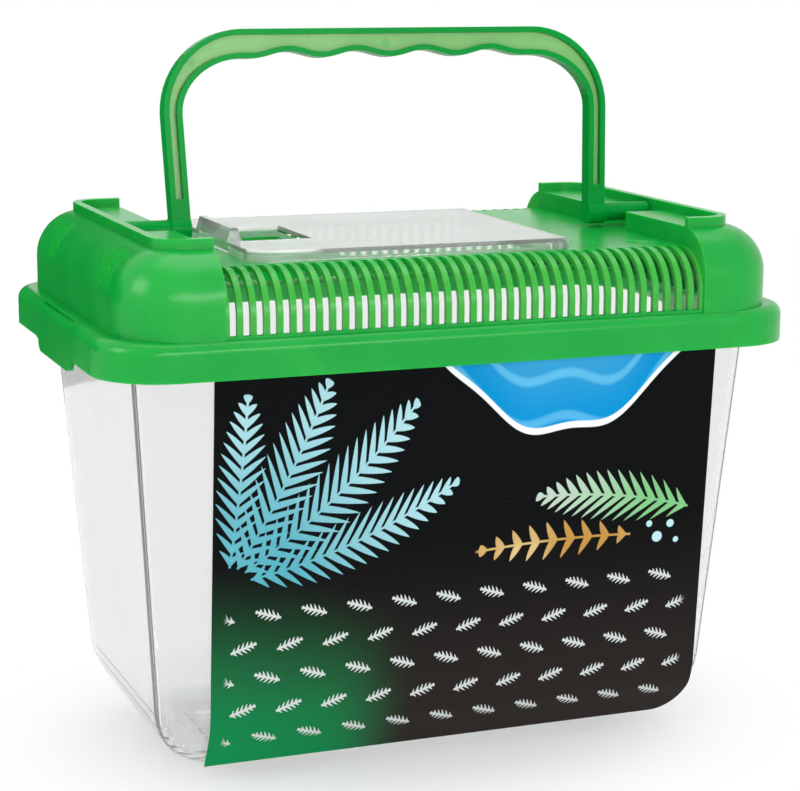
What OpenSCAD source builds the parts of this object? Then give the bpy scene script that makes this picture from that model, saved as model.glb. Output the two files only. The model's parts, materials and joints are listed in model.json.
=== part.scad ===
// Plastic pet keeper: a clear tub, a vented lid with a folding carrying handle,
// a clear hinged window in the lid, and a printed band round the tub's front.
//
// Millimetres. X runs along the tub, the front is at -Y, and the feet stand on
// z = 0 with the origin under the middle of the tub.
// Every height and width of the lid is built up from the tub's rim, so the lid
// still seats, and the handle and window still turn, when a size is changed.

/* [Overall] */
// Length over the lid's rim
rim_len = 190; // [170:1:240]
// Depth over the lid's rim, front to back
rim_wid = 118; // [110:1:160]
// Height of the tub, from the floor to the top of its flange
tub_h = 120.5; // [80:0.1:180]

/* [Tub] */
// How far the lid's rim stands out past the tub at each end
end_overhang = 9.5; // [8:0.1:12]
// How far the lid's rim stands out past the tub at front and back
side_overhang = 12; // [8:0.1:14]
// How much each end wall leans in from the flange down to the base
end_draft = 8.5; // [2:0.1:14]
// How much the front and back walls lean in down to the base
side_draft = 9.5; // [2:0.1:14]
// Thickness of the tub's walls
tub_wall = 1.6; // [1:0.1:3]
// Thickness of the tub's base
base_thick = 2; // [1.2:0.1:4]
// Radius of the tub's upright corners
tub_corner_r = 5; // [3:0.5:8]
// Radius between an end wall and the base
base_round_end = 25; // [10:0.5:28]
// Radius between the front or back wall and the base
base_round_side = 20; // [10:0.5:24]
// Thickness of the flange that carries the lid
flange_thick = 2; // [1:0.1:3]
// Height of the four feet
foot_h = 1; // [0.8:0.1:3]
// Length of each foot, along X
foot_len = 12; // [6:0.5:20]
// Depth of each foot, along Y
foot_wid = 5; // [3:0.5:8]
// Depth of the step that stiffens the middle of the base
base_step = 0.8; // [0.3:0.1:1.1]

/* [Printed band] */
// Thickness of the card band
band_thick = 0.4; // [0.2:0.05:0.8]
// Play between the band and the tub
band_gap = 0.05; // [0.02:0.01:0.2]
// Left edge of the band, from the middle of the tub
band_left = 65; // [40:1:72]
// Right edge of the band, from the middle of the tub
band_right = 75; // [40:1:78]
// How far round the base's curve the band hugs the tub, in degrees
band_hug = 24; // [5:1:50]
// Length of the loose lower end of the band
band_tail = 9; // [2:0.5:12]
// Radius of the band's lower right corner
band_corner_r = 10; // [2:0.5:12]
// Play between the band's top edge and the tub's flange
band_head = 0.5; // [0.2:0.1:4]

/* [Lid] */
// Thickness of the lid's walls
lid_wall = 1.5; // [1.2:0.1:2.4]
// Height of the rim that goes round the flange
rim_h = 9.8; // [7:0.1:14]
// Play between the rim and the tub's flange
rim_gap = 0.6; // [0.3:0.1:1.2]
// Play between the lid and the flange that it rests on
seat_gap = 0.1; // [0.05:0.05:0.3]
// Radius of the rim's corners, seen from above
rim_corner_r = 18; // [14:0.5:24]
// Radius of the rim's top edge
rim_round = 3; // [1:0.1:3.4]
// Width of the ledge between the rim and the dome, at the ends
ledge_end = 5.5; // [3:0.1:8]
// Width of the ledge between the rim and the dome, at front and back
ledge_side = 1.4; // [1:0.1:4]
// Height of the end caps above the ledge
cap_h = 21.1; // [16:0.1:30]
// Length of each end cap, along X
cap_len = 24.4; // [22:0.1:30]
// Shoulder radius of the end caps
cap_round = 12.5; // [6:0.1:13]
// Drop from the end caps to the flat top between them
top_drop = 5.1; // [4:0.1:7]
// Shoulder radius of the flat top
top_round = 11; // [6:0.1:14]
// How far the vented walls lie behind the end caps' faces
vent_set_back = 0.6; // [0.2:0.1:1.5]
// Height of the stacking walls on the end caps
stack_h = 2.4; // [1.5:0.1:4]
// Thickness of the stacking walls
stack_wall = 2.2; // [1.8:0.1:3]
// Corner radius of the stacking walls
stack_r = 8; // [3:0.5:10]
// Distance from the end caps' faces in to the stacking walls
stack_inset = 10; // [9:0.1:11]
// Height of the fine ribs on the end caps' shoulders
rib_h = 0.2; // [0.15:0.05:0.6]
// Width of each fine rib
rib_w = 0.5; // [0.4:0.05:1]
// Spacing of the fine ribs
rib_pitch = 2.6; // [1.6:0.1:3]
// Number of ribs in the group near the front corner
rib_front = 5; // [2:1:5]
// Number of ribs in the group near the back corner
rib_back = 4; // [2:1:5]
// Distance of the first front rib in front of the middle
rib_front_y = 38; // [20:0.5:39]
// Distance of the first back rib behind the middle
rib_back_y = 30; // [20:0.5:39]
// Diameter of the shallow dimple on the flat top
dimple_d = 8; // [4:0.5:10]
// Depth of the dimple
dimple_depth = 0.6; // [0.2:0.1:1]
// Distance of the dimple to the right of the middle
dimple_x = 57; // [48:0.5:59]
// Distance of the dimple in front of the middle
dimple_y = 36; // [20:0.5:38]

/* [Vents] */
// Number of vent slots at the front, and the same again at the back
vent_count = 38; // [10:1:38]
// Spacing of the vent slots
vent_pitch = 3.41; // [2.6:0.01:3.41]
// Width of each vent slot
vent_w = 1.9; // [0.8:0.05:2]
// Height of the slots' lower ends above the ledge
vent_foot = 0.5; // [0.3:0.1:4]
// How far the slots run in over the top, from the vented wall
vent_reach = 12.6; // [8:0.1:13]

/* [Latch tabs] */
// Width of each tab where it leaves the rim
tab_wid = 42; // [20:1:60]
// How far each tab hangs below the rim
tab_drop = 3.5; // [2:0.1:8]
// How much each side of a tab tapers in
tab_taper = 3; // [1:0.1:8]
// Corner radius of a tab's lower end
tab_r = 3; // [0.8:0.1:3]
// Length of the slit in the ledge above each tab
slit_len = 34; // [10:1:56]
// Width of that slit
slit_w = 0.9; // [0.5:0.1:1.5]
// Reach of the hook inside each tab
hook_reach = 0.4; // [0.2:0.1:0.5]
// Height of the hook
hook_h = 2; // [1:0.1:3]

/* [Handle] */
// Height of the handle above its pivot
handle_h = 51.9; // [48:0.1:54]
// Depth of the handle's flanges, front to back
handle_depth = 4.6; // [3:0.1:5]
// How far the handle leans back from upright, in degrees
handle_lean = 6; // [0:1:10]
// Half width over the legs at the pivot
leg_out = 62.8; // [60:0.1:62.8]
// How far each leg leans out by the foot of its corner bend
leg_lean = 1.1; // [0:0.1:2]
// Width of each leg
leg_w = 5; // [4.6:0.1:5.8]
// Thickness of the flanges that edge the handle
flange_edge = 1.5; // [1:0.1:1.9]
// Thickness of the web between the flanges
web_thick = 1.4; // [1:0.1:2.4]
// Outer bend radius of the handle's corners
bend_out = 22; // [16:0.5:26]
// Height of the grip at its thickest
grip_h = 7.7; // [7:0.1:9]
// Depth of the finger waves under the grip
wave_depth = 1.7; // [0.5:0.1:2.4]
// Spacing of the finger waves
wave_pitch = 19.4; // [14:0.1:19.4]
// Number of finger waves
wave_count = 4; // [1:1:4]
// Length of the solid foot of each leg, above the pivot
foot_solid = 7.8; // [5:0.1:12]
// Height of the pivot above the flat top
pivot_rise = 4; // [3.8:0.1:4.2]
// Radius of the hub at the foot of each leg
hub_r = 3.2; // [2.8:0.1:3.3]
// Radius of the shaft from the hub out to the pin
stub_r = 2.5; // [2:0.1:2.7]
// Radius of the pivot pin
pin_r = 1.6; // [1:0.05:1.8]
// Length of the pin inside its hole
pin_len = 1.3; // [0.8:0.1:1.4]
// Radial play of a pin in its hole
pin_gap = 0.06; // [0.03:0.01:0.1]
// Play at the ends of shafts and beside moving pieces
side_gap = 0.4; // [0.2:0.05:0.6]
// Width of the trough across each end cap that the shaft lies in
trough_w = 22; // [10:1:26]

/* [Window flap] */
// Left edge of the flap, from the middle of the lid
flap_left = 54; // [50:0.5:55]
// Hinge axis of the flap, to the right of the middle of the lid
hinge_x = 32.2; // [30:0.1:50]
// Front edge of the flap, from the middle of the lid
flap_front = 42.6; // [36:0.1:42.6]
// Back edge of the flap, from the middle of the lid
flap_back = 28; // [26:0.5:42]
// Height of the flap above the flat top
flap_h = 3; // [2.8:0.1:3.2]
// Thickness of the flap's plate and edges
flap_wall = 1.2; // [0.8:0.1:1.4]
// Corner radius of the flap's left corners
flap_r = 6.5; // [2:0.5:7]
// Radius of the hinge barrel
barrel_r = 1.15; // [1:0.05:1.2]
// Radius of the hinge pins
hinge_pin_r = 0.6; // [0.4:0.05:0.7]
// Width of each hinge ear that stands on the lid
ear_w = 2.4; // [1.6:0.1:4]
// Distance from the flap's front and back edges to the ears
ear_inset = 1.6; // [1.5:0.1:6]
// Play under the flap and round its hinge ears
flap_gap = 0.15; // [0.05:0.05:0.25]
// Height of the pull lip above the flap
lip_h = 3.4; // [2:0.1:5]
// Width of the pull lip at its top
lip_w = 1.8; // [1.4:0.1:3]
// Width of the pull lip at its foot
lip_foot = 4; // [3:0.1:6]
// Length of the finger notch, along X
notch_len = 19; // [12:0.5:20]
// Width of the finger notch and of the pull lip, along Y
notch_wid = 28.5; // [20:0.5:36]
// Depth of the finger pocket in the lid
pocket_depth = 6; // [3:0.1:9]
// Width of the lid's margin between the pocket and the feeding opening
pocket_margin = 3.4; // [2.4:0.1:6]
// Width of the seat round the feeding opening, under the flap
window_margin = 6.6; // [5:0.1:10]
// Corner radius of the feeding opening
window_r = 3; // [1:0.5:6]

/* [Hidden] */
$fn = 48;
// Cuts and unions run past each other by this much
bite = 0.5;
// Faces that would meet edge to edge run past each other by this much
lap = 0.05;
// Thickness of the discs that the tub's form is made of, and the dimple's rise past the top
disc_h = 0.01;
// Steps of the curve between the tub's walls and its base
base_steps = 10;
// Steps of the same curve in the band's section
band_steps = 8;
// Facets of the discs that the tub's corners are made of
corner_fn = 32;
// Steps in each finger wave, and in each bend of the handle
wave_steps = 12;
bend_steps = 14;

// Tub, half sizes at the flange and at the base
tub_top_x = rim_len / 2 - end_overhang;
tub_top_y = rim_wid / 2 - side_overhang;
tub_base_x = tub_top_x - end_draft;
tub_base_y = tub_top_y - side_draft;
flange_x = rim_len / 2 - lid_wall - rim_gap;
flange_y = rim_wid / 2 - lid_wall - rim_gap;
flange_r = rim_corner_r - lid_wall - rim_gap;
// The walls are flat above this height, and curve in to the base below it
base_z = foot_h;
lean_x = end_draft / (tub_h - base_z);
lean_y = side_draft / (tub_h - base_z);
tub_lean = atan(lean_y);
band_top = tub_h - flange_thick - band_head;

// Lid, half sizes and heights
ledge_under = tub_h + seat_gap;
ledge_z = ledge_under + lid_wall;
rim_foot_z = ledge_z - rim_h;
dome_x = rim_len / 2 - ledge_end;
dome_y = rim_wid / 2 - ledge_side;
dome_r = rim_corner_r - ledge_side;
cap_z = ledge_z + cap_h;
top_z = cap_z - top_drop;
cap_in = dome_x - cap_len;
vent_y = dome_y - vent_set_back;
stack_x = dome_x - stack_inset;
stack_y = dome_y - stack_inset;
stack_z = cap_z + stack_h;

// Handle pivot, and the places of its shaft and pin
pivot_z = top_z + pivot_rise;
trough_end = stack_x - stack_wall;
leg_in = leg_out - leg_w;
grip_z = pivot_z + handle_h;
bend_z = grip_z - bend_out;
bend_x = leg_out + leg_lean - bend_out;

// Flap
flap_z = top_z + flap_h;
hinge_z = top_z + flap_gap + barrel_r;
flap_mid_y = (flap_back - flap_front) / 2;
lip_z = flap_z + lip_h;
notch_left = -flap_left + lip_foot;
window_left = notch_left + notch_len + pocket_margin;
ear_mid_front = -flap_front + ear_inset + ear_w / 2;
ear_mid_back = flap_back - ear_inset - ear_w / 2;
ear_r = barrel_r - flap_gap;

// A flat outline with rounded corners, given by its half sizes
module rounded_rect(half_x, half_y, r) {
    square([2 * (half_x - r), 2 * half_y], center = true);
    square([2 * half_x, 2 * (half_y - r)], center = true);
    for (sx = [-1, 1], sy = [-1, 1])
        translate([sx * (half_x - r), sy * (half_y - r)])
            circle(r);
}

// A block with upright rounded corners and a rounded top edge, cut off level at its foot
module soft_block(half_x, half_y, r, z0, z1, edge) {
    intersection() {
        union() {
            translate([0, 0, z0])
                linear_extrude(z1 - edge - z0)
                    rounded_rect(half_x, half_y, r);
            translate([0, 0, z0])
                linear_extrude(z1 - z0)
                    rounded_rect(half_x - edge, half_y - edge, r - edge);
            for (side = [-1, 1]) {
                translate([0, side * (half_y - edge), z1 - edge])
                    rotate([0, 90, 0])
                        cylinder(r = edge, h = 2 * (half_x - r), center = true);
                translate([side * (half_x - edge), 0, z1 - edge])
                    rotate([90, 0, 0])
                        cylinder(r = edge, h = 2 * (half_y - r), center = true);
            }
            for (turn = [0 : 3]) {
                sx = (turn == 0 || turn == 3) ? 1 : -1;
                sy = turn < 2 ? 1 : -1;
                translate([sx * (half_x - r), sy * (half_y - r), z1 - edge])
                    rotate([0, 0, turn * 90])
                        rotate_extrude(angle = 90)
                            intersection() {
                                translate([r - edge, 0])
                                    circle(edge);
                                square([r, edge]);
                            }
            }
        }
        translate([-rim_len, -rim_len, z0])
            cube([2 * rim_len, 2 * rim_len, z1]);
    }
}

// The tub's outer form grown by a skin: flat leaning walls with a curve in to the base.
// Each level is four corner discs, and the form is the hull round all the levels.
module tub_form(skin, top_z) {
    r = tub_corner_r + skin;
    module level(half_x, half_y, z) {
        for (sx = [-1, 1], sy = [-1, 1])
            translate([sx * (half_x - r), sy * (half_y - r), z])
                cylinder(r = r, h = disc_h, $fn = corner_fn);
    }
    hull() {
        level(tub_base_x + lean_x * (top_z - base_z) + skin,
              tub_base_y + lean_y * (top_z - base_z) + skin,
              top_z - disc_h);
        for (step = [0 : base_steps]) {
            turn = 90 * step / base_steps;
            round_x = base_round_end + skin;
            round_y = base_round_side + skin;
            level(tub_base_x - base_round_end + round_x * cos(turn) + lean_x * base_round_side * (1 - sin(turn)),
                  tub_base_y - base_round_side + round_y * cos(turn) + lean_y * base_round_side * (1 - sin(turn)),
                  base_z + base_round_side - round_y * sin(turn));
        }
    }
}

// The hollow inside the tub
module tub_hollow() {
    tub_form(-tub_wall, tub_h + bite);
}

module tub() {
    foot_x = tub_base_x - base_round_end - foot_len / 2 + bite;
    foot_y = tub_base_y - base_round_side - foot_wid / 2 + bite;
    color([0.9, 0.93, 0.93, 0.45]) {
        difference() {
            union() {
                tub_form(0, tub_h);
                // Flange that the lid rests on
                translate([0, 0, tub_h - flange_thick])
                    linear_extrude(flange_thick)
                        rounded_rect(flange_x, flange_y, flange_r);
                // Feet
                for (sx = [-1, 1], sy = [-1, 1])
                    translate([sx * foot_x - foot_len / 2, sy * foot_y - foot_wid / 2, 0])
                        cube([foot_len, foot_wid, foot_h + base_thick / 2]);
            }
            difference() {
                tub_hollow();
                // The base is thicker than the walls
                translate([-rim_len / 2, -rim_wid / 2, 0])
                    cube([rim_len, rim_wid, base_z + base_thick]);
            }
            // Step pressed up into the middle of the base
            translate([0, 0, base_z - bite])
                linear_extrude(base_step + bite)
                    rounded_rect(foot_x - foot_len, foot_y + foot_wid / 2, tub_corner_r);
        }
    }
}

// Outline of the tub's front wall and base curve, moved out by a skin, from the top down
function front_line(skin) = [for (step = [-1 : band_steps])
    let (turn = max(step, 0) * band_hug / band_steps, drop = base_round_side * (1 - sin(turn)))
    step < 0
        ? [-(tub_top_y - lean_y * (tub_h - band_top) + skin), band_top]
        : [-(tub_base_y - base_round_side + (base_round_side + skin) * cos(turn) + lean_y * drop),
           base_z + drop - skin * sin(turn)]];

// Card band on the tub's front wall, with a loose end below
module printed_band() {
    inner = front_line(band_gap);
    outer = front_line(band_gap + band_thick);
    tail = [band_tail * sin(band_hug + tub_lean), -band_tail * cos(band_hug + tub_lean)];
    color([0.08, 0.1, 0.1])
        intersection() {
            translate([-band_left, 0, 0])
                rotate([90, 0, 90])
                    linear_extrude(band_left + band_right)
                        polygon(concat(inner,
                                       [inner[band_steps + 1] + tail, outer[band_steps + 1] + tail],
                                       [for (step = [band_steps + 1 : -1 : 0]) outer[step]]));
            // Its lower right corner is rounded
            rotate([90, 0, 0])
                linear_extrude(rim_wid) {
                    corner_z = outer[band_steps + 1][1] + tail[1] + band_corner_r;
                    translate([-band_left, corner_z])
                        square([band_left + band_right, tub_h]);
                    translate([-band_left, 0])
                        square([band_left + band_right - band_corner_r, tub_h]);
                    translate([band_right - band_corner_r, corner_z])
                        circle(band_corner_r);
                }
        }
}

// Form of the lid's dome from a foot height up, drawn in by a skin: two end caps and the lower middle
module dome_form(skin, foot_z) {
    cap_face = cap_in + skin;
    difference() {
        soft_block(dome_x - skin, dome_y - skin, dome_r - skin, foot_z, cap_z - skin, cap_round - skin);
        translate([-cap_face, -rim_wid, foot_z - bite])
            cube([2 * cap_face, 2 * rim_wid, 2 * cap_h]);
    }
    translate([-cap_face - lap, 0, 0])
        rotate([90, 0, 90])
            linear_extrude(2 * (cap_face + lap))
                middle_profile(skin, foot_z);
}

// Section of the dome's middle: upright vented walls, round shoulders and a flat top
module middle_profile(skin, foot_z) {
    half = vent_y - skin;
    edge = top_round - skin;
    translate([-half, foot_z])
        square([2 * half, top_z - skin - edge - foot_z]);
    translate([-half + edge, foot_z])
        square([2 * (half - edge), top_z - skin - foot_z]);
    intersection() {
        for (side = [-1, 1])
            translate([side * (half - edge), top_z - skin - edge])
                circle(edge);
        translate([-half, top_z - skin - edge])
            square([2 * half, edge]);
    }
}

// Trough across one end cap for the handle's shaft, grown by a skin
module trough(skin) {
    translate([cap_in - bite, -trough_w / 2 - skin, top_z - skin])
        cube([trough_end - cap_in + bite + skin, trough_w + 2 * skin, top_drop + stack_h + bite]);
}

// Scooped finger pocket under the flap's notch, grown by a skin
module pocket(skin) {
    scoop_r = (notch_len / 2 * notch_len / 2 + pocket_depth * pocket_depth) / (2 * pocket_depth) + skin;
    intersection() {
        translate([notch_left - skin, flap_mid_y - notch_wid / 2 - skin, top_z - pocket_depth - skin])
            cube([notch_len + 2 * skin, notch_wid + 2 * skin, pocket_depth + skin + bite]);
        translate([notch_left + notch_len / 2, flap_mid_y, top_z - pocket_depth - skin + scoop_r])
            rotate([90, 0, 0])
                cylinder(r = scoop_r, h = notch_wid + 4 * skin + bite, center = true);
    }
}

// C-shaped stacking wall on the right end cap, open towards the middle
module stacking_wall() {
    translate([0, 0, cap_z - bite])
        linear_extrude(stack_h + bite)
            intersection() {
                difference() {
                    rounded_rect(stack_x, stack_y, stack_r);
                    rounded_rect(stack_x - stack_wall, stack_y - stack_wall, stack_r - stack_wall);
                }
                translate([cap_in, -rim_wid / 2])
                    square([cap_len, rim_wid]);
            }
}

// Fine ribs that curve over the shoulder of the right end cap
module shoulder_ribs() {
    rib_in = dome_x - cap_round / 2;
    rib_low = ledge_z + cap_h / 2;
    intersection() {
        soft_block(dome_x + rib_h, dome_y, dome_r, ledge_z, cap_z + rib_h, cap_round);
        union() {
            for (count = [0 : rib_front - 1])
                translate([rib_in, count * rib_pitch - rib_front_y, rib_low])
                    cube([cap_round, rib_w, cap_h]);
            for (count = [0 : rib_back - 1])
                translate([rib_in, rib_back_y - count * rib_pitch - rib_w, rib_low])
                    cube([cap_round, rib_w, cap_h]);
        }
    }
}

// Slots through the vented wall and over its shoulder, at the front
module vent_slots() {
    for (count = [0 : vent_count - 1])
        translate([(count - (vent_count - 1) / 2) * vent_pitch - vent_w / 2, -rim_wid / 2, ledge_z + vent_foot])
            cube([vent_w, rim_wid / 2 - vent_y + vent_reach, cap_h]);
}

// Skirt of the rim, the ledge, and the latch tab at the right end
module rim() {
    difference() {
        soft_block(rim_len / 2, rim_wid / 2, rim_corner_r, rim_foot_z, ledge_z, rim_round);
        translate([0, 0, rim_foot_z - bite])
            linear_extrude(ledge_under - rim_foot_z + bite)
                rounded_rect(rim_len / 2 - lid_wall, rim_wid / 2 - lid_wall, rim_corner_r - lid_wall);
    }
}

module latch_tab() {
    tab_top = tab_wid / 2;
    tab_low = tab_top - tab_taper;
    tab_foot = rim_foot_z - tab_drop;
    translate([rim_len / 2 - lid_wall, 0, 0])
        rotate([90, 0, 90])
            linear_extrude(lid_wall) {
                polygon([[-tab_top, rim_foot_z + bite], [-tab_top, rim_foot_z], [-tab_low, tab_foot + tab_r],
                         [tab_low, tab_foot + tab_r], [tab_top, rim_foot_z], [tab_top, rim_foot_z + bite]]);
                translate([-tab_low + tab_r, tab_foot])
                    square([2 * (tab_low - tab_r), 2 * tab_r]);
                for (side = [-1, 1])
                    translate([side * (tab_low - tab_r), tab_foot + tab_r])
                        circle(tab_r);
            }
    // Hook that the flange's edge passes when the tab is pulled out
    translate([rim_len / 2 - lid_wall - hook_reach, -tab_low + tab_r, tab_foot + tab_r / 2])
        cube([hook_reach + bite, 2 * (tab_low - tab_r), hook_h]);
}

// Hinge ear on the flat top, with the hole for a hinge pin
module hinge_ear(mid_y) {
    translate([hinge_x, mid_y + ear_w / 2, hinge_z])
        rotate([90, 0, 0])
            cylinder(r = ear_r, h = ear_w);
    translate([hinge_x - ear_r, mid_y - ear_w / 2, top_z - bite])
        cube([2 * ear_r, ear_w, hinge_z - top_z + bite]);
}

// Feeding opening under the flap
module window_opening() {
    right = hinge_x - window_margin + barrel_r;
    half_x = (right - window_left) / 2;
    half_y = (flap_back + flap_front) / 2 - window_margin;
    translate([window_left + half_x, flap_mid_y, top_z - lid_wall - bite])
        linear_extrude(lid_wall + 2 * bite)
            rounded_rect(half_x, half_y, window_r);
}

module lid() {
    color([0.0, 0.63, 0.28])
        difference() {
            union() {
                difference() {
                    union() {
                        dome_form(0, ledge_under);
                        rim();
                        for (end = [0, 1])
                            mirror([end, 0, 0]) {
                                stacking_wall();
                                shoulder_ribs();
                                latch_tab();
                            }
                    }
                    for (end = [0, 1])
                        mirror([end, 0, 0])
                            trough(0);
                    pocket(0);
                    // Hollow of the dome, past the trough and the pocket
                    difference() {
                        dome_form(lid_wall, ledge_under - bite);
                        for (end = [0, 1])
                            mirror([end, 0, 0])
                                trough(stack_wall);
                        pocket(lid_wall);
                    }
                    for (back = [0, 1])
                        mirror([0, back, 0])
                            vent_slots();
                    window_opening();
                }
                hinge_ear(ear_mid_front);
                hinge_ear(ear_mid_back);
            }
            // Blind holes for the handle's pins
            for (end = [0, 1])
                mirror([end, 0, 0])
                    translate([trough_end - bite, 0, pivot_z])
                        rotate([0, 90, 0])
                            cylinder(r = pin_r + pin_gap, h = pin_len + side_gap / 2 + bite);
            // Holes in the hinge ears
            for (mid_y = [ear_mid_front, ear_mid_back])
                translate([hinge_x, mid_y, hinge_z])
                    rotate([90, 0, 0])
                        cylinder(r = hinge_pin_r + pin_gap, h = ear_w + bite, center = true);
            // Slits that let the latch tabs flex
            for (side = [-1, 1])
                translate([side * (rim_len / 2 - lid_wall - slit_w / 2 + lap), 0, ledge_z])
                    cube([slit_w, slit_len, 3 * lid_wall], center = true);
            // Dimple on the flat top
            translate([dimple_x, -dimple_y, top_z - dimple_depth])
                cylinder(r1 = dimple_d / 2 - dimple_depth, r2 = dimple_d / 2, h = dimple_depth + disc_h);
        }
}

// Underside of the grip, as a height for each place along it
wave_half = wave_count * wave_pitch / 2;
function grip_under(x) = grip_z - grip_h
    + (abs(x) < wave_half ? wave_depth / 2 * (1 - cos(360 * x / wave_pitch + (wave_count % 2) * 180)) : 0);

// Points on a quarter of an ellipse, from one angle to another
function bend(mid_x, half_x, half_z, from, to) = [for (step = [0 : bend_steps])
    let (turn = from + (to - from) * step / bend_steps)
    [mid_x + half_x * cos(turn), bend_z + half_z * sin(turn)]];

// The handle's outline moved inwards by a margin on both edges, down to the given height
function handle_outline(margin, foot_z) =
    let (lean = leg_lean * (foot_z - pivot_z) / (bend_z - pivot_z),
         foot_out = leg_out + lean - margin,
         foot_in = leg_in + lean + margin,
         out_r = bend_out - margin,
         in_x = bend_out - leg_w + margin,
         in_z = bend_out - grip_h + margin)
    concat([[-foot_out, foot_z]],
           bend(-bend_x, out_r, out_r, 180, 90),
           bend(bend_x, out_r, out_r, 90, 0),
           [[foot_out, foot_z], [foot_in, foot_z]],
           bend(bend_x, in_x, in_z, 0, 90),
           [for (step = [wave_count * wave_steps / 2 : -1 : -wave_count * wave_steps / 2])
               let (x = step * wave_pitch / wave_steps)
               [x, grip_under(x) + margin]],
           bend(-bend_x, in_x, in_z, 90, 180),
           [[-foot_in, foot_z]]);

module handle() {
    color([0.1, 0.66, 0.3])
        translate([0, 0, pivot_z])
            rotate([-handle_lean, 0, 0])
                translate([0, 0, -pivot_z]) {
                    rotate([90, 0, 0])
                        difference() {
                            translate([0, 0, -handle_depth / 2])
                                linear_extrude(handle_depth)
                                    polygon(handle_outline(0, pivot_z));
                            // Pockets on both faces leave the web
                            for (face = [-1, 1])
                                translate([0, 0, face * (web_thick + handle_depth + bite) / 2])
                                    linear_extrude(handle_depth + bite, center = true)
                                        polygon(handle_outline(flange_edge, pivot_z + foot_solid));
                        }
                    for (end = [0, 1])
                        mirror([end, 0, 0])
                            pivot_shaft();
                }
}

// Hub, shaft and pin at the foot of the right leg
module pivot_shaft() {
    translate([0, 0, pivot_z])
        rotate([0, 90, 0]) {
            translate([0, 0, leg_in])
                cylinder(r = hub_r, h = leg_w + side_gap);
            translate([0, 0, leg_out])
                cylinder(r = stub_r, h = trough_end - side_gap - leg_out);
            translate([0, 0, leg_out])
                cylinder(r = pin_r, h = trough_end + pin_len - leg_out);
        }
}

// Section of the flap's plate with its hinge barrel at the right end
module flap_plate_outline() {
    mid_x = (hinge_x - flap_left) / 2;
    half_x = (hinge_x + flap_left) / 2;
    half_y = (flap_back + flap_front) / 2;
    translate([mid_x, flap_mid_y]) {
        rounded_rect(half_x, half_y, flap_r);
        translate([0, -half_y])
            square([half_x, 2 * half_y]);
    }
}

module window_flap() {
    foot_z = top_z + flap_gap;
    half_y = (flap_back + flap_front) / 2;
    color([0.88, 0.93, 0.9, 0.5])
        difference() {
            union() {
                difference() {
                    translate([0, 0, foot_z])
                        linear_extrude(flap_z - foot_z)
                            flap_plate_outline();
                    // Hollow under the plate, with edges left at front, back and left
                    translate([0, 0, foot_z - bite])
                        linear_extrude(flap_z - flap_wall - foot_z + bite)
                            intersection() {
                                translate([(hinge_x - flap_left) / 2 , flap_mid_y])
                                    rounded_rect((hinge_x + flap_left) / 2 - flap_wall,
                                                 half_y - flap_wall, flap_r - flap_wall);
                                translate([-flap_left, -rim_wid / 2])
                                    square([flap_left + hinge_x - barrel_r, rim_wid]);
                            }
                    // The lower right end gives way to the barrel
                    translate([hinge_x - barrel_r, -rim_wid / 2, foot_z - bite])
                        cube([2 * barrel_r, rim_wid, hinge_z - foot_z + bite]);
                }
                // Barrel
                translate([hinge_x, flap_mid_y, hinge_z])
                    rotate([90, 0, 0])
                        cylinder(r = barrel_r, h = 2 * half_y, center = true);
                // Pull lip at the left end
                translate([-flap_left, flap_mid_y + notch_wid / 2, 0])
                    rotate([90, 0, 0])
                        linear_extrude(notch_wid)
                            polygon([[0, foot_z], [lip_foot, foot_z], [lip_foot, flap_z],
                                     [lip_foot / 2 + lip_w / 2, lip_z], [lip_foot / 2 - lip_w / 2, lip_z],
                                     [0, flap_z]]);
            }
            // Finger notch
            translate([notch_left, flap_mid_y - notch_wid / 2, foot_z - bite])
                cube([notch_len, notch_wid, flap_h + 2 * bite]);
            // Room for the hinge ears, round the pins
            for (mid_y = [ear_mid_front, ear_mid_back])
                translate([hinge_x, mid_y, hinge_z])
                    rotate([90, 0, 0])
                        difference() {
                            cylinder(r = ear_r + flap_gap, h = ear_w + 2 * flap_gap, center = true);
                            cylinder(r = hinge_pin_r, h = ear_w + bite, center = true);
                        }
        }
}

tub();
printed_band();
lid();
handle();
window_flap();
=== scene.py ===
import json
import math

import bpy
from mathutils import Matrix, Vector

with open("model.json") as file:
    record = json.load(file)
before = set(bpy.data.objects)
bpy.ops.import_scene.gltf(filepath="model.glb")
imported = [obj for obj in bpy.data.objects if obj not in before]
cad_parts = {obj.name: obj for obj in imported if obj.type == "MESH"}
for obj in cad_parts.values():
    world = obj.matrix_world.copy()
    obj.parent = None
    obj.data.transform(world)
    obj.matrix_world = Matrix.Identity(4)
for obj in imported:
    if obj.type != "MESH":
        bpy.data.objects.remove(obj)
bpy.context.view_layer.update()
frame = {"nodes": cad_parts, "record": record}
nodes = frame["nodes"]

# ---------------------------------------------------------------------------
# Studio. A white paper floor that runs out into a white surround, a broad
# lamp overhead, one at the left and one in front, and a camera at the
# photograph's own angle.
# ---------------------------------------------------------------------------

AZIMUTH = math.radians(-21.17)
ELEVATION = math.radians(11.28)
ROLL = math.radians(0.30)
DISTANCE = 0.6265
TARGET = Vector((0.00214, 0.0, 0.09313))
FOCAL_PIXELS = 2256.65
FRAME_PIXELS = 800
SENSOR_MM = 36.0
NEAR_CLIP = 0.05

back = Vector(
    (
        math.sin(AZIMUTH) * math.cos(ELEVATION),
        -math.cos(AZIMUTH) * math.cos(ELEVATION),
        math.sin(ELEVATION),
    )
)
level_right = Vector((math.cos(AZIMUTH), math.sin(AZIMUTH), 0.0))
level_up = back.cross(level_right)
right = level_right * math.cos(ROLL) + level_up * math.sin(ROLL)
up = level_up * math.cos(ROLL) - level_right * math.sin(ROLL)
turned = Matrix((right, up, back)).transposed().to_4x4()

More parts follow.
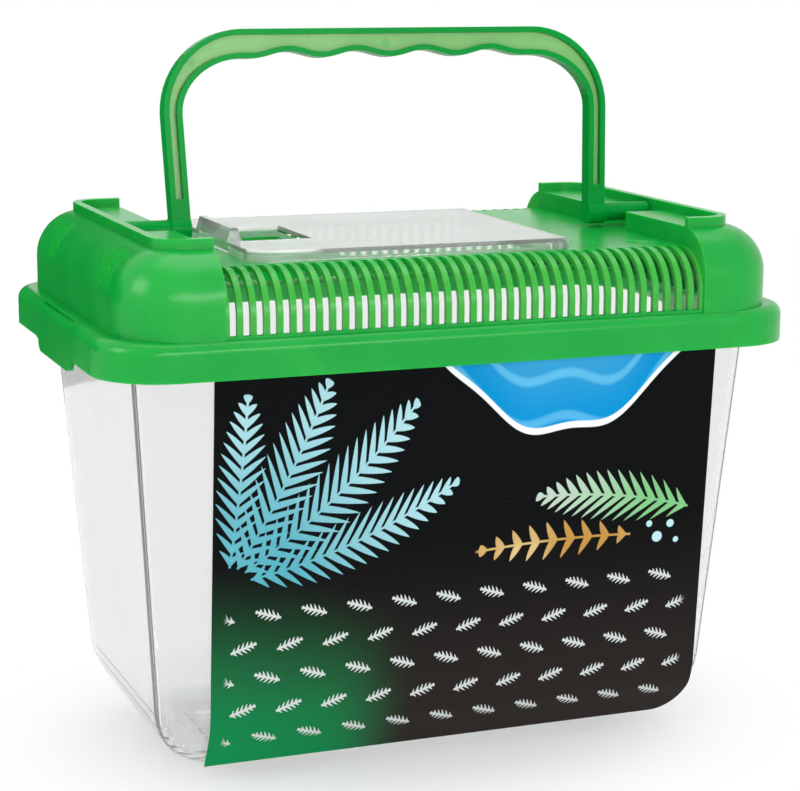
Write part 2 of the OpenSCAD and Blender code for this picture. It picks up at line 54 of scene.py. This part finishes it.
camera = bpy.data.objects.new("camera", bpy.data.cameras.new("camera"))
camera.data.sensor_width = SENSOR_MM
camera.data.lens = SENSOR_MM * FOCAL_PIXELS / FRAME_PIXELS
camera.data.clip_start = NEAR_CLIP
camera.matrix_world = Matrix.Translation(TARGET + back * DISTANCE) @ turned
bpy.context.scene.collection.objects.link(camera)
bpy.context.scene.camera = camera
bpy.context.scene.view_settings.view_transform = "Standard"


class Link:
    """One shader socket, so that node maths reads as plain Python expressions."""

    def __init__(self, tree, socket):
        self.tree = tree
        self.socket = socket

    def math(self, operation, *others):
        return node(self.tree, "ShaderNodeMath", {"operation": operation}, [self, *others])

    def __add__(self, other):
        return self.math("ADD", other)

    __radd__ = __add__

    def __sub__(self, other):
        return self.math("SUBTRACT", other)

    def __rsub__(self, other):
        return node(self.tree, "ShaderNodeMath", {"operation": "SUBTRACT"}, [other, self])

    def __mul__(self, other):
        return self.math("MULTIPLY", other)

    __rmul__ = __mul__

    def __truediv__(self, other):
        return self.math("DIVIDE", other)

    def __pow__(self, other):
        return self.math("POWER", other)

    def __abs__(self):
        return self.math("ABSOLUTE")

    def __or__(self, other):
        return self.math("MAXIMUM", other)

    def __and__(self, other):
        return self.math("MINIMUM", other)

    def rise(self, low, high):
        """0 below one value, 1 above another, and a smooth step between them."""
        settings = {"interpolation_type": "SMOOTHSTEP"}
        return node(self.tree, "ShaderNodeMapRange", settings, [self, low, high, 0.0, 1.0])

    def fall(self, low, high):
        """1 below one value, 0 above another, and a smooth step between them."""
        return 1.0 - self.rise(low, high)

    def span(self, low, high):
        """Spreads 0 to 1 over low to high."""
        return self * (high - low) + low


def node(tree, kind, settings=None, inputs=(), out=0):
    """Adds a node, sets its settings first and its sockets second, and returns one output."""
    made = tree.nodes.new(kind)
    for key, value in (settings or {}).items():
        setattr(made, key, value)
    pairs = inputs.items() if isinstance(inputs, dict) else enumerate(inputs)
    for key, value in pairs:
        if isinstance(value, Link):
            tree.links.new(value.socket, made.inputs[key])
        else:
            made.inputs[key].default_value = value
    return Link(tree, made.outputs[out]) if len(made.outputs) else None


def new_material(name):
    material = bpy.data.materials.new(name)
    material.use_nodes = True
    material.node_tree.nodes.clear()
    return material, material.node_tree


def place_on(tree):
    """The shaded point's own place on the object, in metres."""
    return node(tree, "ShaderNodeTexCoord", out="Object")


def in_millimetres(point):
    """The x, y and z of a place, in millimetres."""
    return [node(point.tree, "ShaderNodeSeparateXYZ", {}, [point], out=axis) * 1000.0 for axis in "XYZ"]


def length_of(first, second):
    """The straight distance that two offsets at right angles add up to."""
    return (first * first + second * second) ** 0.5


def seen_directly(tree):
    """1 for what the camera sees, straight, in a reflection or through clear plastic."""
    kinds = ("Camera", "Glossy", "Transmission")
    straight, mirrored, through = [node(tree, "ShaderNodeLightPath", out=f"Is {kind} Ray") for kind in kinds]
    return node(tree, "ShaderNodeClamp", {}, [straight + mirrored + through])


def stage_sheet(name, corners, material):
    """A flat sheet that belongs to the studio, not to the object."""
    mesh = bpy.data.meshes.new(name)
    mesh.from_pydata(corners, [], [(0, 1, 2, 3)])
    mesh.materials.append(material)
    sheet = bpy.data.objects.new(name, mesh)
    bpy.context.scene.collection.objects.link(sheet)
    return sheet


WHITE = (1.0, 1.0, 1.0, 1.0)
FILL_STRENGTH = 0.60
SEEN_STRENGTH = 1.0

world = bpy.data.worlds.new("studio")
bpy.context.scene.world = world
world.use_nodes = True
tree = world.node_tree
tree.nodes.clear()
fill = node(tree, "ShaderNodeBackground", {}, [WHITE, FILL_STRENGTH])
surround = node(tree, "ShaderNodeBackground", {}, [WHITE, SEEN_STRENGTH])
lit = node(tree, "ShaderNodeMixShader", {}, [seen_directly(tree), fill, surround])
node(tree, "ShaderNodeOutputWorld", {}, [lit])

# The paper is lit and shaded under and near the object and turns plain white further out
FLOOR_HALF = 3.0
PAPER_WHITE = (0.93, 0.93, 0.93, 1.0)
SHADE_X_MM, SHADE_Y_MM = 150.0, 120.0
SHADE_INNER, SHADE_OUTER = 0.34, 0.84
WHITE_UNDER_OBJECT = 0.38

material, tree = new_material("white_paper")
corners = [(x * FLOOR_HALF, y * FLOOR_HALF, 0.0) for x, y in ((-1, -1), (1, -1), (1, 1), (-1, 1))]
stage_sheet("floor", corners, material)
x_mm, y_mm, z_mm = in_millimetres(place_on(tree))
away = length_of(x_mm / SHADE_X_MM, y_mm / SHADE_Y_MM).rise(SHADE_INNER, SHADE_OUTER)
mask = seen_directly(tree) * away.span(WHITE_UNDER_OBJECT, 1.0)
paper = node(tree, "ShaderNodeBsdfDiffuse", {}, {"Color": PAPER_WHITE})
glowing = node(tree, "ShaderNodeEmission", {}, {"Color": WHITE, "Strength": SEEN_STRENGTH})
floor = node(tree, "ShaderNodeMixShader", {}, [mask, paper, glowing])
node(tree, "ShaderNodeOutputMaterial", {}, [floor])

# A dark card behind on the left shows only in reflections: what mirrors that side keeps its colour
CARD_LEFT, CARD_RIGHT, CARD_BACK, CARD_TOP = -0.9, -0.02, 0.45, 0.35
CARD_BLACK = (0.02, 0.02, 0.02, 1.0)

material, tree = new_material("dark_card")
node(tree, "ShaderNodeOutputMaterial", {}, [node(tree, "ShaderNodeBsdfDiffuse", {}, {"Color": CARD_BLACK})])
corners = [
    (CARD_LEFT, CARD_BACK, 0.0),
    (CARD_RIGHT, CARD_BACK, 0.0),
    (CARD_RIGHT, CARD_BACK, CARD_TOP),
    (CARD_LEFT, CARD_BACK, CARD_TOP),
]
dark_card = stage_sheet("dark_card", corners, material)
for ray in ("camera", "diffuse", "transmission", "shadow"):
    setattr(dark_card, f"visible_{ray}", False)

# Each lamp's name, place, width and height in metres, and power in watts
LAMPS = [
    ("top_lamp", (0.1, 0.1, 1.2), 0.9, 0.9, 5.4),
    ("left_lamp", (-1.2, -0.1, 0.7), 0.5, 0.6, 5.2),
    ("front_lamp", (0.0, -1.05, 0.32), 0.9, 0.13, 4.8),
]
LIT_POINT = Vector((0.0, 0.0, 0.1))

for name, place, width, height, power in LAMPS:
    light = bpy.data.lights.new(name, "AREA")
    light.shape = "RECTANGLE"
    light.size = width
    light.size_y = height
    light.energy = power
    holder = bpy.data.objects.new(name, light)
    holder.location = place
    holder.rotation_euler = (LIT_POINT - Vector(place)).to_track_quat("-Z", "Y").to_euler()
    bpy.context.scene.collection.objects.link(holder)

# ---------------------------------------------------------------------------
# Tub. One injection moulding in clear polystyrene, polished, with the faint
# ripple and hair scratches of a box that has been handled. The lid clips
# over its flange and it stands on four low feet.
# ---------------------------------------------------------------------------

CLEAR = (0.942, 0.946, 0.943, 1.0)
POLISHED, SCUFFED = 0.06, 0.16
HAIR_TURN = (0.3, 0.5, 0.7)
HAIR_STRETCH = (1.0, 14.0, 3.0)
HAIR_EDGE = (0.60, 0.75)
HAIR_RELIEF = 0.05
SHALLOW_EDGE = math.radians(32.0)
FLAT_FACE_WEIGHT = 90


def noise(tree, point, scale, detail, distortion=0.0):
    sockets = {"Vector": point, "Scale": scale, "Detail": detail, "Distortion": distortion}
    return node(tree, "ShaderNodeTexNoise", {}, sockets)


def bump(tree, height, strength, distance):
    return node(tree, "ShaderNodeBump", {}, {"Strength": strength, "Distance": distance, "Height": height})


def surface(tree, sockets):
    """Ends a material in one Principled shader with the given sockets."""
    node(tree, "ShaderNodeOutputMaterial", {}, [node(tree, "ShaderNodeBsdfPrincipled", {}, sockets)])


def dress(name, materials, choose=lambda face: 0):
    """Gives a CAD node its materials, and smooth shading across its shallow edges."""
    mesh = nodes[name].data
    mesh.materials.clear()
    for each in materials:
        mesh.materials.append(each)
    for face in mesh.polygons:
        face.material_index = choose(face)
        face.use_smooth = True
    mesh.set_sharp_from_angle(angle=SHALLOW_EDGE)
    weighted = nodes[name].modifiers.new("flat_faces_stay_flat", "WEIGHTED_NORMAL")
    weighted.mode = "FACE_AREA"
    weighted.weight = FLAT_FACE_WEIGHT
    weighted.keep_sharp = True


polystyrene, tree = new_material("clear_polystyrene")
point = place_on(tree)
ripple = noise(tree, point, scale=45.0, detail=1.0)
sockets = {"Vector": point, "Rotation": HAIR_TURN, "Scale": HAIR_STRETCH}
along_hairs = node(tree, "ShaderNodeMapping", {}, sockets)
scuffs = noise(tree, along_hairs, scale=160.0, detail=3.0).rise(*HAIR_EDGE)
surface(
    tree,
    {
        "Base Color": CLEAR,
        "Roughness": scuffs.span(POLISHED, SCUFFED),
        "IOR": 1.43,
        "Transmission Weight": 0.95,
        "Normal": bump(tree, ripple + scuffs * HAIR_RELIEF, strength=0.05, distance=0.0010),
    },
)
dress("tub", [polystyrene])

# ---------------------------------------------------------------------------
# Printed band. Coated card glued round the tub's front, its lower end loose.
# The print is a plain nature design: a blue pool, fern fronds, small sprigs
# and a green ground on black. The back of the card is bare.
# ---------------------------------------------------------------------------

INK_BLACK = (0.0022, 0.0028, 0.0032, 1.0)
INK_UMBER = (0.026, 0.020, 0.018, 1.0)
INK_GREEN = (0.0, 0.270, 0.080, 1.0)
INK_BLUE = (0.0, 0.27, 0.62, 1.0)
INK_SKY = (0.15, 0.56, 0.85, 1.0)
INK_WHITE = (0.86, 0.90, 0.90, 1.0)
INK_TEAL = (0.02, 0.33, 0.42, 1.0)
INK_MIST = (0.48, 0.74, 0.78, 1.0)
INK_AMBER = (0.50, 0.27, 0.06, 1.0)
INK_STRAW = (0.74, 0.58, 0.28, 1.0)
INK_LEAF = (0.10, 0.50, 0.12, 1.0)
INK_CHALK = (0.60, 0.64, 0.62, 1.0)
PRINT_BLUR_MM = 0.15
HAIRLINE = 0.001


def inked(tree, mask, under, over):
    """Prints one colour over another where the mask is 1."""
    return node(tree, "ShaderNodeMix", {"data_type": "RGBA"}, {0: mask, 6: under, 7: over}, out=2)


# How a frond swells along its stem, how its leaflets end, and how thick and long its stem is
SWELL = 0.62
LEAFLET_BLUR = 0.25
LEAFLET_ENDS = (0.92, 1.0)
STEM_EDGE_MM = (0.22, 0.42)
STEM_FOOT = (0.0, 0.01)
STEM_TIP = (0.97, 1.0)


def frond(x_mm, z_mm, foot, angle, length, width, leaflets, bend, sweep=0.9, fill=0.40):
    """A feather of leaflets along a curved stem: its mask, and its place from foot to tip."""
    turn = math.radians(angle)
    off_x, off_z = x_mm - foot[0], z_mm - foot[1]
    along = off_x * math.cos(turn) + off_z * math.sin(turn)
    aside = abs(off_z * math.cos(turn) - off_x * math.sin(turn) - along * along * bend)
    reach = (along / length) & 1.0 | 0.0
    half = (reach * (1.0 - reach) * 4.0) ** SWELL * (width / 2.0) + HAIRLINE
    part = aside / half
    beat = ((along - aside * sweep) * (leaflets / length)).math("FRACT")
    blade = 1.0 - abs(beat - 0.5) / ((1.0 - part * part | 0.0) * fill + HAIRLINE)
    leaf = blade.rise(0.0, LEAFLET_BLUR) * part.fall(*LEAFLET_ENDS)
    stem = aside.fall(*STEM_EDGE_MM) * reach.rise(*STEM_FOOT) * reach.fall(*STEM_TIP)
    return leaf | stem, reach


def disc(x_mm, z_mm, centre, radius):
    """A round spot with a slightly soft edge."""
    away = length_of(x_mm - centre[0], z_mm - centre[1])
    return away.fall(radius - PRINT_BLUR_MM, radius + PRINT_BLUR_MM)


coated, tree = new_material("printed_card")
point = place_on(tree)
x_mm, y_mm, z_mm = in_millimetres(point)
grain = noise(tree, point, scale=24.0, detail=3.0)

# Ground: black above, umber below, with a green glow rising from the lower left
UMBER_HEIGHT = (6.0, 70.0)
UMBER_SHARE = 0.9
GLOW_HEIGHT = (-16.0, 50.0)
GLOW_SLOPE = 0.25
GLOW_CLOUDS_MM = 6.0
GLOW_END = (-34.0, -8.0)

ink = inked(tree, z_mm.fall(*UMBER_HEIGHT) * UMBER_SHARE, INK_BLACK, INK_UMBER)
glow_foot = z_mm + x_mm * GLOW_SLOPE + grain * GLOW_CLOUDS_MM
ink = inked(tree, glow_foot.fall(*GLOW_HEIGHT) * x_mm.fall(*GLOW_END), ink, INK_GREEN)

# A blue pool with pale crests and a white edge, which runs under the lid's rim
POOL_MIDDLE, POOL_FOOT, POOL_CURVE = 31.0, 90.5, 0.018
SHORE_WAVE_TURN, SHORE_WAVE_MM = 0.24, 1.3
CREST_DEPTH_TURN, CREST_WAVE_TURN, CREST_WAVE, CREST_CLOUDS = 0.55, 0.16, 1.1, 2.0
CREST_EDGE = (0.55, 1.0)
CREST_SHARE, SHALLOW_SHARE, SHALLOW_MM = 0.55, 0.35, 26.0
FOAM_MIDDLE_MM = -0.2
FOAM_EDGE_MM = (0.75, 1.05)

from_middle = x_mm - POOL_MIDDLE
shore = from_middle * from_middle * POOL_CURVE + POOL_FOOT
deep = z_mm - (shore + (x_mm * SHORE_WAVE_TURN).math("SINE") * SHORE_WAVE_MM)
wander = (x_mm * CREST_WAVE_TURN).math("SINE") * CREST_WAVE + grain * CREST_CLOUDS
crest = (deep * CREST_DEPTH_TURN + wander).math("SINE").rise(*CREST_EDGE)
pale = crest * CREST_SHARE + deep.rise(0.0, SHALLOW_MM) * SHALLOW_SHARE
water = inked(tree, pale, INK_BLUE, INK_SKY)
ink = inked(tree, deep.rise(-PRINT_BLUR_MM, PRINT_BLUR_MM), ink, water)
ink = inked(tree, abs(deep - FOAM_MIDDLE_MM).fall(*FOAM_EDGE_MM), ink, INK_WHITE)

# A fan of large fronds in teal and mist, and a single one in leaf green: each one's
# foot, angle, length, width, leaflets, bend, and the colours of its foot and its tip
FRONDS = [
    ((-55.0, 57.0), 9.0, 60.0, 15.0, 18, 0.0036, INK_TEAL, INK_MIST),
    ((-56.5, 59.0), 32.0, 62.0, 17.0, 18, 0.0030, INK_TEAL, INK_MIST),
    ((-58.5, 60.0), 57.0, 54.0, 17.0, 16, 0.0022, INK_TEAL, INK_MIST),
    ((-60.5, 60.5), 82.0, 46.0, 13.0, 14, 0.0010, INK_TEAL, INK_MIST),
    ((70.0, 66.0), 163.0, 46.0, 15.0, 14, 0.0035, INK_LEAF, INK_CHALK),
]
TINT_REACH = (0.15, 0.95)
TINT_SHARE, TINT_CLOUDS = 0.6, 0.4

for foot, angle, length, width, leaflets, bend, dark, light in FRONDS:
    mask, reach = frond(x_mm, z_mm, foot, angle, length, width, leaflets, bend)
    tint = inked(tree, reach.rise(*TINT_REACH) * TINT_SHARE + grain * TINT_CLOUDS, dark, light)
    ink = inked(tree, mask, ink, tint)

# Amber twig with broad leaves, and berries beside it
BERRIES = [((61.0, 58.0), 1.5), ((64.8, 61.5), 1.1), ((58.4, 61.9), 0.9), ((66.8, 56.7), 0.8)]
TWIG_CLOUDS = (0.35, 0.65)

mask, reach = frond(
    x_mm,
    z_mm,
    foot=(53.0, 59.5),
    angle=177.0,
    length=46.0,
    width=11.0,
    leaflets=9,
    bend=0.0016,
    sweep=0.5,
    fill=0.26,
)
ink = inked(tree, mask, ink, inked(tree, grain.rise(*TWIG_CLOUDS), INK_AMBER, INK_STRAW))
for centre, radius in BERRIES:
    ink = inked(tree, disc(x_mm, z_mm, centre, radius), ink, INK_MIST)

# Small sprigs in rows across the lower part, every other row shifted and mirrored
CELL_X, CELL_Z = 12.5, 8.6
SPRIGS_LEFT, SPRIGS_RIGHT = (-62.0, -60.0), (69.0, 71.0)
SPRIGS_FOOT, SPRIGS_TOP = (10.0, 12.0), (50.0, 53.0)

row = (z_mm / CELL_Z).math("FLOOR")
odd = (row * 0.5).math("FRACT") * 2.0
column = x_mm / CELL_X + odd * 0.5
cell_x = (column.math("FRACT") - 0.5) * (1.0 - odd * 2.0) * CELL_X
cell_z = ((z_mm / CELL_Z).math("FRACT") - 0.5) * CELL_Z
mask, reach = frond(
    cell_x,
    cell_z,
    foot=(-3.6, -1.4),
    angle=18.0,
    length=7.4,
    width=3.4,
    leaflets=6,
    bend=0.0,
    sweep=0.7,
    fill=0.34,
)
rows = z_mm.rise(*SPRIGS_FOOT) * z_mm.fall(*SPRIGS_TOP)
columns = x_mm.rise(*SPRIGS_LEFT) * x_mm.fall(*SPRIGS_RIGHT)
ink = inked(tree, mask * rows * columns, ink, INK_CHALK)

# The coating is smooth, with the fine unevenness of the press
COATING, COATING_WORN = 0.26, 0.38

press = noise(tree, point, scale=420.0, detail=2.0)
surface(
    tree,
    {
        "Base Color": ink,
        "Roughness": press.span(COATING, COATING_WORN),
        "Specular IOR Level": 0.06,
        "Normal": bump(tree, press, strength=0.12, distance=0.0001),
    },
)

# The back and the cut edges show the card's fibres
CARD_GREY, CARD_PALE = (0.70, 0.70, 0.68, 1.0), (0.80, 0.80, 0.78, 1.0)
FACES_FRONT = -0.3

bare, tree = new_material("bare_card")
fibre = noise(tree, place_on(tree), scale=900.0, detail=3.0)
surface(
    tree,
    {
        "Base Color": inked(tree, fibre, CARD_GREY, CARD_PALE),
        "Roughness": 0.85,
        "Normal": bump(tree, fibre, strength=0.2, distance=0.0001),
    },
)
dress("printed_band", [coated, bare], lambda face: 0 if face.normal.y < FACES_FRONT else 1)

# ---------------------------------------------------------------------------
# Lid. One moulding in semi-gloss green polypropylene, slightly translucent
# where it is thin, pressed over the tub's flange and held by its two tabs.
# Its slotted bars and inner faces are painted paler: a painted glow for the
# light that comes through the thin wall.
# ---------------------------------------------------------------------------

GREEN = (0.0, 0.335, 0.040, 1.0)
GREEN_LIGHT = (0.008, 0.380, 0.048, 1.0)
# The slotted bars' green is painted paler, a painted glow; the inner greens are painted brighter, a painted
# glow for light through the wall
GREEN_PAINTED_GLOW = (0.070, 0.410, 0.048, 1.0)
INNER_GREEN_PAINTED_GLOW = (0.004, 0.760, 0.120, 1.0)
INNER_LIGHT_PAINTED_GLOW = (0.010, 0.820, 0.140, 1.0)
GREEN_SCATTER = (0.02, 1.0, 0.12)
SCATTER_DEPTH = 0.003
FLOW_EDGE = (0.3, 0.7)
FLOW_RELIEF = 4.0
SEMI_GLOSS, SATIN = 0.23, 0.31


def polypropylene(name, dark, light, marks_and_painted_glow, marks_and_painted_glow_colour, ior, glow):
    """Moulded polypropylene: faint flow clouds, a fine spark-eroded texture, soft gloss, and a patch in a
    second colour, which is real pin marks on the handle and a painted glow on the lid's slotted bars.
    """
    material, tree = new_material(name)
    point = place_on(tree)
    flow = noise(tree, point, scale=26.0, detail=3.0, distortion=0.8)
    fine = noise(tree, point, scale=1500.0, detail=2.0)
    clouds = inked(tree, flow.rise(*FLOW_EDGE), dark, light)
    surface(
        tree,
        {
            "Base Color": inked(tree, marks_and_painted_glow(*in_millimetres(point)), clouds, marks_and_painted_glow_colour),
            "Roughness": flow.span(SEMI_GLOSS, SATIN),
            "IOR": ior,
            "Subsurface Weight": glow,
            "Subsurface Radius": GREEN_SCATTER,
            "Subsurface Scale": SCATTER_DEPTH,
            "Normal": bump(tree, fine + flow * FLOW_RELIEF, strength=0.10, distance=0.00006),
        },
    )
    return material


# Where on the slotted bars the painted glow lies, in millimetres, and how strong it is
SLOTS_END = (64.5, 65.5)
SLOTS_FOOT = (122.6, 123.6)
SLOTS_SIDE = (43.0, 54.0)
PAINTED_GLOW_SHARE = 0.6


def slotted_bars_painted_glow(x_mm, y_mm, z_mm):
    """The bars between the slots are painted paler and yellower: a painted glow for the light that comes
    through the thin walls.
    """
    return abs(x_mm).fall(*SLOTS_END) * abs(y_mm).rise(*SLOTS_SIDE) * z_mm.rise(*SLOTS_FOOT) * PAINTED_GLOW_SHARE


green = polypropylene(
    "green_polypropylene", GREEN, GREEN_LIGHT, slotted_bars_painted_glow, GREEN_PAINTED_GLOW, ior=1.36, glow=0.6
)

# The inner faces are less shiny, and are painted brighter: a painted glow for the light that comes through
# the wall
inner = polypropylene(
    "green_inner_faces_painted_glow", INNER_GREEN_PAINTED_GLOW, INNER_LIGHT_PAINTED_GLOW, slotted_bars_painted_glow, INNER_LIGHT_PAINTED_GLOW, ior=1.08, glow=0.6
)

# The slotted middle's outer faces, the radius that joins them, and the finger pocket, in metres
MIDDLE_TOP, MIDDLE_SIDE, MIDDLE_END = 0.1381, 0.0570, 0.0651
SHOULDER = 0.0110
LEDGE_TOP = 0.1221
INNER_DEPTH = 0.00145
POCKET_LEFT, POCKET_RIGHT = -0.048, -0.033
POCKET_FRONT, POCKET_BACK = -0.0225, 0.008
FACES_INWARD = -0.03


def inside_lid(face):
    """Picks the rim's inner faces, and those a wall's thickness below the slotted middle's skin."""
    x, y, z = face.center
    if z < LEDGE_TOP:
        return 1 if face.normal.x * x + face.normal.y * y < FACES_INWARD else 0
    out = max(abs(y) - MIDDLE_SIDE + SHOULDER, 0.0)
    rise = max(z - MIDDLE_TOP + SHOULDER, 0.0)
    below_skin = SHOULDER - math.hypot(out, rise) > INNER_DEPTH
    in_pocket = POCKET_LEFT < x < POCKET_RIGHT and POCKET_FRONT < y < POCKET_BACK
    return 1 if below_skin and abs(x) < MIDDLE_END and not in_pocket else 0


dress("lid", [green, inner], inside_lid)

# ---------------------------------------------------------------------------
# Handle. The same green polypropylene, a thin web edged by flanges. The web
# is painted paler, a painted glow for the light from behind that comes
# through it, and the flanges are painted darker than the lid, painted shade.
# Its shafts turn on pins in the lid's stacking walls.
# ---------------------------------------------------------------------------

# The flanges' green is painted darker than the lid's, painted shade; the web's green is painted paler, a
# painted glow for light from behind
FLANGE_GREEN_PAINTED_SHADE = (0.0, 0.265, 0.036, 1.0)
FLANGE_LIGHT_PAINTED_SHADE = (0.0, 0.300, 0.042, 1.0)
WEB_GREEN_PAINTED_GLOW = (0.205, 0.490, 0.150, 1.0)
WEB_LIGHT_PAINTED_GLOW = (0.265, 0.550, 0.195, 1.0)
PIN_MARKS = ((-1.0, 189.9), (-55.8, 185.3))
PIN_MARK_RADIUS = 1.3
PIN_MARK_SHARE = 0.22


def pin_marks(x_mm, y_mm, z_mm):
    """Faint round marks where the mould's ejector pins met the web."""
    first, second = [disc(x_mm, z_mm, centre, PIN_MARK_RADIUS) for centre in PIN_MARKS]
    return (first | second) * PIN_MARK_SHARE


flanges = polypropylene(
    "green_flanges_painted_shade", FLANGE_GREEN_PAINTED_SHADE, FLANGE_LIGHT_PAINTED_SHADE, pin_marks, FLANGE_GREEN_PAINTED_SHADE, ior=1.15, glow=0.25
)
web = polypropylene("green_web_painted_glow", WEB_GREEN_PAINTED_GLOW, WEB_LIGHT_PAINTED_GLOW, pin_marks, GREEN, ior=1.30, glow=0.6)

# The web's faces point straight out of the handle, which leans back, and lie near its middle
LEAN = math.radians(6.0)
WEB_HALF = 0.0009
SQUARE_ON = 0.9

joints = frame["record"]["behaviour"]["joints"]
pivot = next(Vector(joint["pos_m"]) for joint in joints if joint["name"] == "handle_fold")
handle_front = Vector((0.0, -math.cos(LEAN), math.sin(LEAN)))


def on_web(face):
    flat = abs(face.normal.dot(handle_front)) > SQUARE_ON
    return 1 if flat and abs((face.center - pivot).dot(handle_front)) < WEB_HALF else 0


dress("handle", [flanges, web], on_web)

# ---------------------------------------------------------------------------
# Window flap. A milky clear moulding that covers the feeding opening, with
# a pull lip at its left end. It turns on two short pins in the lid's ears.
# ---------------------------------------------------------------------------

MILK_DEEP, MILK_PALE = (0.90, 0.93, 0.91, 1.0), (0.95, 0.97, 0.955, 1.0)
FLAP_POLISHED, FLAP_CLOUDED = 0.02, 0.12

milky, tree = new_material("milky_polystyrene")
point = place_on(tree)
cloud = noise(tree, point, scale=60.0, detail=3.0)
fine = noise(tree, point, scale=700.0, detail=2.0)
surface(
    tree,
    {
        "Base Color": inked(tree, cloud, MILK_DEEP, MILK_PALE),
        "Roughness": cloud.span(FLAP_POLISHED, FLAP_CLOUDED),
        "IOR": 1.49,
        "Transmission Weight": 0.88,
        "Normal": bump(tree, fine, strength=0.08, distance=0.0001),
    },
)
dress("window_flap", [milky])
